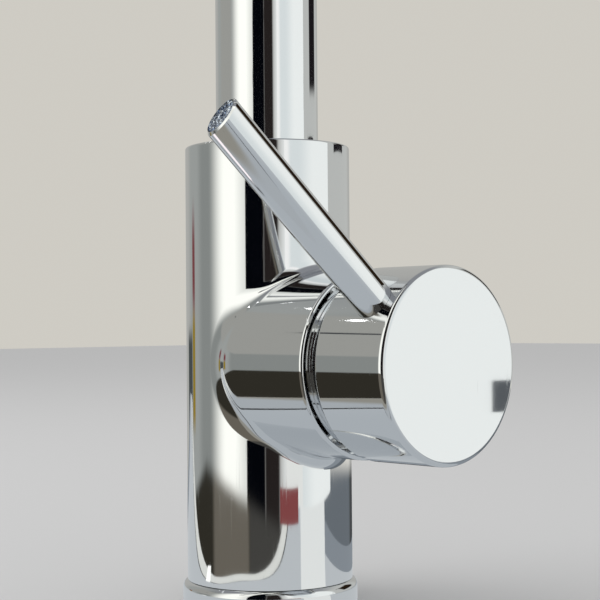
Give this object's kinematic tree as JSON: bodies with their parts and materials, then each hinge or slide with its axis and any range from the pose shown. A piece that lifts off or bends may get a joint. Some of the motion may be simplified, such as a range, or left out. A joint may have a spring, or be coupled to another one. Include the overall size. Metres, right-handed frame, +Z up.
{
  "type": "kitchen mixer tap",
  "caption": "Single-lever kitchen mixer: upright round body, side valve housing with cap and pin lever, tall curved swivel spout, threaded shank for a worktop hole.",
  "frame": {"origin": "on the worktop's upper face, on the axis of the tap's body and shank", "axes": "+Z up along the body, +X out along the handle's axis, -Y towards the user, which is where the spout points at rest"},
  "size_m": [0.0923, 0.24, 0.439],
  "materials": {
    "chrome_body": "polished",
    "chrome_trim": "polished",
    "chrome_spout": "polished",
    "chrome_handle": "polished",
    "textured_plug": "satin",
    "raw_brass": "satin",
    "zinc_steel": "satin",
    "steel_screw": "satin",
    "black_rubber": "matte",
    "grey_acetal": "satin",
    "white_acetal": "satin",
    "blue_grey_acetal": "satin",
    "white_ceramic": "polished"
  },
  "bodies": {
    "tap_body": {"body": "chrome_body", "base_ring": "chrome_trim", "base_gasket": "black_rubber", "mounting_shank": "raw_brass", "rubber_washer": "black_rubber", "steel_washer": "zinc_steel", "mounting_nut": "raw_brass", "spout_slip_ring": "grey_acetal", "spout_thrust_washer": "grey_acetal", "spout_stop_screw": "steel_screw", "cartridge_base": "white_acetal", "port_seals": "black_rubber", "fixed_disc": "white_ceramic", "cartridge_shell": "white_acetal", "cartridge_nut": "raw_brass", "trim_ring": "chrome_trim", "trim_oring": "black_rubber"},
    "spout": {"spout_tube": "chrome_spout", "spout_foot": "raw_brass", "spout_orings": "black_rubber", "outlet_sleeve": "raw_brass", "aerator_washer": "black_rubber", "aerator_housing": "chrome_trim", "aerator_insert": "white_acetal", "aerator_sieve": "steel_screw"},
    "collar": {"turning_collar": "blue_grey_acetal", "tilt_pin": "steel_screw"},
    "handle": {"valve_stem": "zinc_steel", "handle_cap": "chrome_handle", "lever_pin": "chrome_handle", "lever_end_plug": "textured_plug", "cap_screw": "steel_screw"},
    "disc_slider": {"disc_carrier": "blue_grey_acetal", "moving_disc": "white_ceramic"}
  },
  "joints": [
    {"name": "spout_swivel", "type": "hinge", "parent": "tap_body", "child": "spout", "pos_m": [0, 0, 0.105], "axis": [0, 0, 1], "range_deg": [-75, 75]},
    {"name": "handle_turn", "type": "hinge", "parent": "tap_body", "child": "collar", "pos_m": [0.0305, 0, 0.065], "axis": [1, 0, 0], "range_deg": [-50, 50]},
    {"name": "handle_tilt", "type": "hinge", "parent": "collar", "child": "handle", "pos_m": [0.0305, 0, 0.065], "axis": [0, 0.6428, 0.766], "range_deg": [0, 9]},
    {"name": "disc_shift", "type": "slide", "parent": "collar", "child": "disc_slider", "axis": [0, -0.766, 0.6428], "range_m": [0, 0.0027]}
  ],
  "couplings": [
    {"joint": "disc_shift", "follows": "handle_tilt", "m_per_rad": 0.01705}
  ]
}
